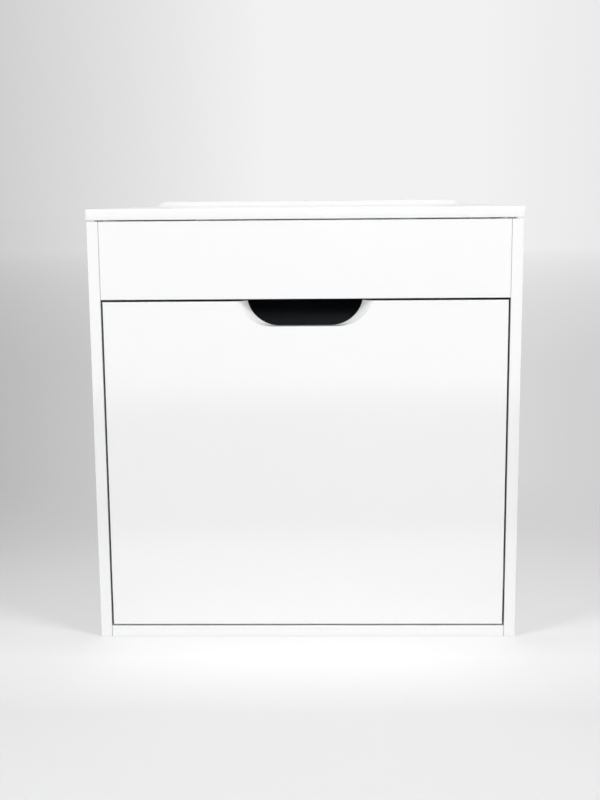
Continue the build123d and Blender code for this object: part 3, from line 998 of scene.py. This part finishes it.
    def build(self) -> Piece:
        """Build the basin.

        Returns:
            The piece, which replaces the node: a grid of rings by directions, with the overflow's
            boss added and its two plain holes bored.
        """
        for add_rows in (self.slab_rows, self.bowl_rows, self.waste_rows, self.under_rows):
            add_rows()
        reaches, levels, lifted = (np.array(values) for values in zip(*self.rows.rings))
        flat = self.origin + reaches[:, :, None] * self.rows.directions
        heights = levels[:, None] + lifted[:, None] * self.ledge_rise(flat[:, :, 0], flat[:, :, 1])
        points = np.concatenate([flat, heights[:, :, None]], axis=-1)
        faces = grid_faces(*reaches.shape, True).tolist()
        piece = make_piece("basin_glazed", points.reshape(-1, 3), faces, 40.0)
        combine(piece, self.overflow_rod("boss", self.overflow_boss, 0.0, True), "UNION")
        bore = self.overflow_rod("bore", self.overflow_radius, self.bore_lead, False)
        bore.data.transform(Matrix.Translation((0, self.bore_past, 0)))
        combine(piece, bore, "DIFFERENCE")
        combine(piece, self.tap_hole(), "DIFFERENCE")
        soften(piece, 40.0)
        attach(piece, self.body)
        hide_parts(self.node)
        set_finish(piece, Slot.glaze.name)
        return piece


def combine(piece: Piece, tool: Piece, operation: str) -> None:
    """Add a form to a piece or cut it away, and drop the form.

    Args:
        piece: The piece.
        tool: The form.
        operation: "UNION" or "DIFFERENCE".
    """
    modifier = piece.modifiers.new("combine", "BOOLEAN")
    modifier.operation = operation
    modifier.solver = "EXACT"
    modifier.object = tool
    graph = bpy.context.evaluated_depsgraph_get()
    result = bpy.data.meshes.new_from_object(piece.evaluated_get(graph))
    piece.modifiers.clear()
    spent = piece.data
    piece.data = result
    result.name = piece.name
    bpy.data.meshes.remove(spent)
    bpy.data.objects.remove(tool)


@dataclass
class Studio:
    """The pale floor, the backdrop light, the lamps and the camera."""

    floor_size: float = 80.0
    floor_drop: float = 0.1 * MM
    floor_tone: float = 0.955
    # Painted shade: the paper's colour nearer the camera is darker, for the lamps' light falling off.
    front_shade_tone: float = 0.885
    pool_centre: Pair = (0.0, -1.0)
    pool_edge: Pair = (0.45, 1.6)
    glow_reach: Pair = (2.5, 13.0)
    left_fall: Pair = (-0.3, -0.05)
    right_fall: Pair = (0.13, 0.26)
    # Painted shade: the seen greys of the far floor and the sky, darker to the sides and nearer the
    # object.
    near_tones: Triple = (0.71, 0.85, 0.808)
    far_tones: Triple = (0.785, 0.947, 0.905)
    paper_shade_fall: Pair = (-0.54, -0.72)
    paper_end: Pair = (-0.8, -1.05)
    card_reach: Pair = (-2.2, -2.9)
    dark_tone: float = 0.6
    sky_light: float = 0.57
    lamp_azimuth_deg: float = 50.0
    lamp_rise_deg: float = 40.0
    lamp_distance: float = 2.4
    lamp_size: float = 0.9
    lamp_powers: Pair = (18.6, 21.4)
    flash_rise: float = 0.1
    flash_size: float = 0.09
    flash_power: float = 4.0
    camera_place: Triple = (0.028, -2.102, 0.326)
    camera_turn_deg: Triple = (-1.25, 9.66, -0.47)
    lens: float = 53.46

    def seen(self, sheet: Nodes) -> Socket:
        """Give 1 for rays from the camera, mirrors and clear matter, and 0 for those that light."""
        path = sheet.add("ShaderNodeLightPath").outputs
        either = sheet.work("MAXIMUM", path["Is Camera Ray"], path["Is Glossy Ray"])
        return sheet.work("MAXIMUM", either, path["Is Transmission Ray"])

    def across(self, sheet: Nodes, bearing: Socket, tones: Triple) -> Socket:
        """Blend three greys from left to right.

        Args:
            sheet: The node tree to add to.
            bearing: How far to the right a place is for each metre ahead of the camera.
            tones: The left, middle and right grey.

        Returns:
            The grey's socket.
        """
        left, middle, right = (grey(tone) for tone in tones)
        from_left = sheet.fade(bearing, self.left_fall)
        to_right = sheet.fade(bearing, self.right_fall)
        return sheet.mix(to_right, sheet.mix(from_left, left, middle), right)

    def shaded_glow(self, sheet: Nodes, x: Socket, y: Socket, ahead: Socket) -> Socket:
        """Make the floor's own glow, with painted shade, which takes the lit floor's place where it is
        only seen.

        Args:
            sheet: The node tree to add to.
            x: Place across.
            y: Place from front to back.
            ahead: 1 where a mirror shows the floor in front of the paper.

        Returns:
            The shader: greys with painted shade, which change with the bearing and the distance, darker
            to the sides and nearer the object, and in mirrors a card in front that ends in the dark.
        """
        behind = sheet.work("SUBTRACT", sheet.work("ABSOLUTE", y), self.camera_place[1])
        bearing = sheet.work("DIVIDE", x, behind)
        reach = sheet.add("ShaderNodeVectorMath", {0: sheet.place()}, operation="LENGTH")
        depth = sheet.fade(reach.outputs["Value"], self.glow_reach)
        # Painted shade: the greys are darker near the object and to the sides, most of all to the left.
        greys = sheet.mix(depth, self.across(sheet, bearing, self.near_tones),
                          self.across(sheet, bearing, self.far_tones))
        card = sheet.mix(sheet.fade(y, self.card_reach), grey(self.dark_tone), grey(1.0))
        tone = sheet.mix(ahead, greys, card)
        return sheet.add("ShaderNodeEmission", {"Color": tone}).outputs[0]

    def floor(self) -> Piece:
        """Build the floor, which keeps the object's shadow, darkens towards the camera with painted
        shade, and far off fades into a glow with painted shade.
        """
        half = self.floor_size / 2
        level = CAD_BOX[0].z - self.floor_drop
        corners = [[x * half, y * half, level] for x, y in ((-1, -1), (1, -1), (1, 1), (-1, 1))]
        piece = make_piece("floor", np.array(corners), [[0, 1, 2, 3]], 30.0)
        sheet = Shader("floor_paper")
        x, y, _ = sheet.axes(sheet.place())
        # Painted shade: the paper darkens towards the camera, standing in for the light falling off.
        paper = sheet.mix(sheet.fade(y, self.paper_shade_fall), grey(self.floor_tone),
                          grey(self.front_shade_tone))
        sheet.fix(Base_Color=paper, Roughness=0.7, Specular_IOR_Level=0.1)
        mirrored = sheet.add("ShaderNodeLightPath").outputs["Is Glossy Ray"]
        ahead = sheet.work("MULTIPLY", sheet.fade(y, self.paper_end), mirrored)
        away = sheet.add("ShaderNodeVectorMath", {0: sheet.place(), 1: (*self.pool_centre, level)},
                         operation="DISTANCE")
        pool = sheet.fade(away.outputs["Value"], self.pool_edge)
        hidden = sheet.work("MULTIPLY", pool, self.seen(sheet))
        skins = {0: sheet.work("MAXIMUM", hidden, ahead), 1: sheet.surface.outputs["BSDF"],
                 2: self.shaded_glow(sheet, x, y, ahead)}
        blend = sheet.add("ShaderNodeMixShader", skins)
        sheet.feed(sheet.output.inputs["Surface"], blend.outputs[0])
        piece.data.materials.append(sheet.material)
        return piece

    def sky(self) -> None:
        """Set the world: plain white where it lights, and where it is seen a soft grey with painted
        shade, darker to the sides and most of all to the left.
        """
        world = bpy.data.worlds.new("studio")
        bpy.context.scene.world = world
        world.use_nodes = True
        sheet = Nodes(world.node_tree)
        bearing = sheet.axes(sheet.add("ShaderNodeTexCoord").outputs["Generated"])[0]
        # Painted shade: the seen greys darken to the sides, most of all to the left.
        tone = self.across(sheet, bearing, self.far_tones)
        seen = sheet.add("ShaderNodeBackground", {"Color": tone})
        lighting = sheet.add("ShaderNodeBackground", {"Strength": self.sky_light})
        skins = {0: self.seen(sheet), 1: lighting.outputs[0], 2: seen.outputs[0]}
        blend = sheet.add("ShaderNodeMixShader", skins)
        sheet.add("ShaderNodeOutputWorld", {"Surface": blend.outputs[0]})

    def lamps(self) -> None:
        """Hang a broad lamp to each side in front, and a small flash over the camera.

        All are round, soft and face the object's middle.
        """
        turn, rise = math.radians(self.lamp_azimuth_deg), math.radians(self.lamp_rise_deg)
        level, up = self.lamp_distance * math.cos(rise), self.lamp_distance * math.sin(rise)
        aside, ahead = level * math.sin(turn), level * math.cos(turn)
        places = [MIDDLE + Vector((side * aside, -ahead, up)) for side in (-1, 1)]
        places.append(Vector(self.camera_place) + Vector((0.0, 0.0, self.flash_rise)))
        names = ("lamp_left", "lamp_right", "flash")
        sizes = (self.lamp_size, self.lamp_size, self.flash_size)
        powers = (*self.lamp_powers, self.flash_power)
        for name, place, size, power in zip(names, places, sizes, powers):
            data = bpy.data.lights.new(name, "AREA")
            data.shape = "DISK"
            data.size = size
            data.energy = power
            lamp = bpy.data.objects.new(name, data)
            turned = (place - MIDDLE).to_track_quat("Z", "Y")
            lamp.matrix_world = Matrix.LocRotScale(place, turned, None)
            bpy.context.scene.collection.objects.link(lamp)

    def camera(self) -> None:
        """Set the camera where the photograph's lines say it stood: turned, tipped down and rolled."""
        data = bpy.data.cameras.new("camera")
        data.lens = self.lens
        camera = bpy.data.objects.new("camera", data)
        turn, tip, roll = (math.radians(angle) for angle in self.camera_turn_deg)
        view = Matrix.Rotation(tip + QUARTER, 3, "X") @ Matrix.Rotation(turn, 3, "Z")
        view = Matrix.Rotation(roll, 3, "Z") @ view
        axes = Matrix((view[0], -view[1], -view[2])).transposed()
        camera.matrix_world = Matrix.Translation(self.camera_place) @ axes.to_4x4()
        bpy.context.scene.collection.objects.link(camera)
        bpy.context.scene.camera = camera

    def build(self) -> None:
        """Set up the floor, the sky, the lamps and the camera."""
        bpy.context.scene.view_settings.view_transform = "Standard"
        self.camera()
        self.floor()
        self.sky()
        self.lamps()


def dress(piece: Piece, finish: bpy.types.Material) -> None:
    """Give every material slot of a piece one finish."""
    if not piece.material_slots:
        piece.data.materials.append(finish)
    for slot in piece.material_slots:
        slot.material = finish


def main() -> None:
    """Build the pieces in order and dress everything."""
    logging.basicConfig(level=logging.INFO, format="%(name)s: %(message)s")
    Studio().build()
    finishes = {slot.name: slot.value.build() for slot in Slot}
    for part in frame["record"]["subparts"]:
        dress(frame["nodes"][part["node"]], finishes[part["material_slot"]])
    in_row, facing, unsought = 50.0 * MM, 100.0 * MM, math.inf
    screws = [
        ScrewSet("front_screws", "drawer", HeadForm.PAN, 1, (in_row, unsought, in_row), 1.0,
                 4.0 * MM, 2.2 * MM, 2.0 * MM),
        ScrewSet("drawer_runner_screws", "drawer", HeadForm.PAN, 0, (facing, in_row, unsought), 1.0,
                 3.25 * MM, 1.5 * MM, 1.75 * MM),
        ScrewSet("cabinet_runner_screws", "cabinet", HeadForm.FLAT, 0,
                 (facing, in_row, unsought), -1.0, 2.7 * MM, 0.0, 1.75 * MM),
    ]
    balls = [BallSet(f"balls_{row}_{side}", f"{row}_cage_{side}")
             for row in ("outer", "inner") for side in ("left", "right")]
    for maker in [Basin(), *screws, *balls]:
        piece = maker.build()
        dress(piece, finishes[piece["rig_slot"]])
        LOG.info("%s: %d faces", piece.name, len(piece.data.polygons))


if __name__ == "__main__":
    main()
